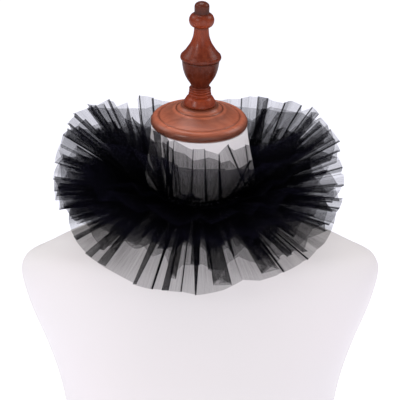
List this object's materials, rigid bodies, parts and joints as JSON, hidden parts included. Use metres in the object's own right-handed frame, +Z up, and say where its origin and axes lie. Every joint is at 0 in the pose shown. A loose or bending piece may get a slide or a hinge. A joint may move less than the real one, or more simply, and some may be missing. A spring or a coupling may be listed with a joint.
{
  "type": "ruff collar on a dress form",
  "caption": "Deep ruff collar of pleated black tulle flounces sewn to a neckband, on a dress form with a turned wooden neck cap and finial.",
  "frame": {"origin": "centre of the form's flat bottom, under the middle of the bounding box", "axes": "+Z up, -Y out of the form's front, +X to the right as seen from the front"},
  "size_m": [0.39, 0.3104, 0.6617],
  "materials": {
    "form_cover": "smooth white stretch cover, matt",
    "turned_wood": "red-brown varnish, satin",
    "neckband_ribbon": "black ribbon",
    "tulle": "black net, see-through in one layer"
  },
  "bodies": {
    "root": {"dress_form": "form_cover", "neck_cap": "turned_wood", "finial": "turned_wood", "neckband": "neckband_ribbon", "flounce_1": "tulle", "flounce_2": "tulle", "flounce_3": "tulle", "flounce_4": "tulle", "flounce_5": "tulle", "flounce_6": "tulle"}
  },
  "joints": []
}
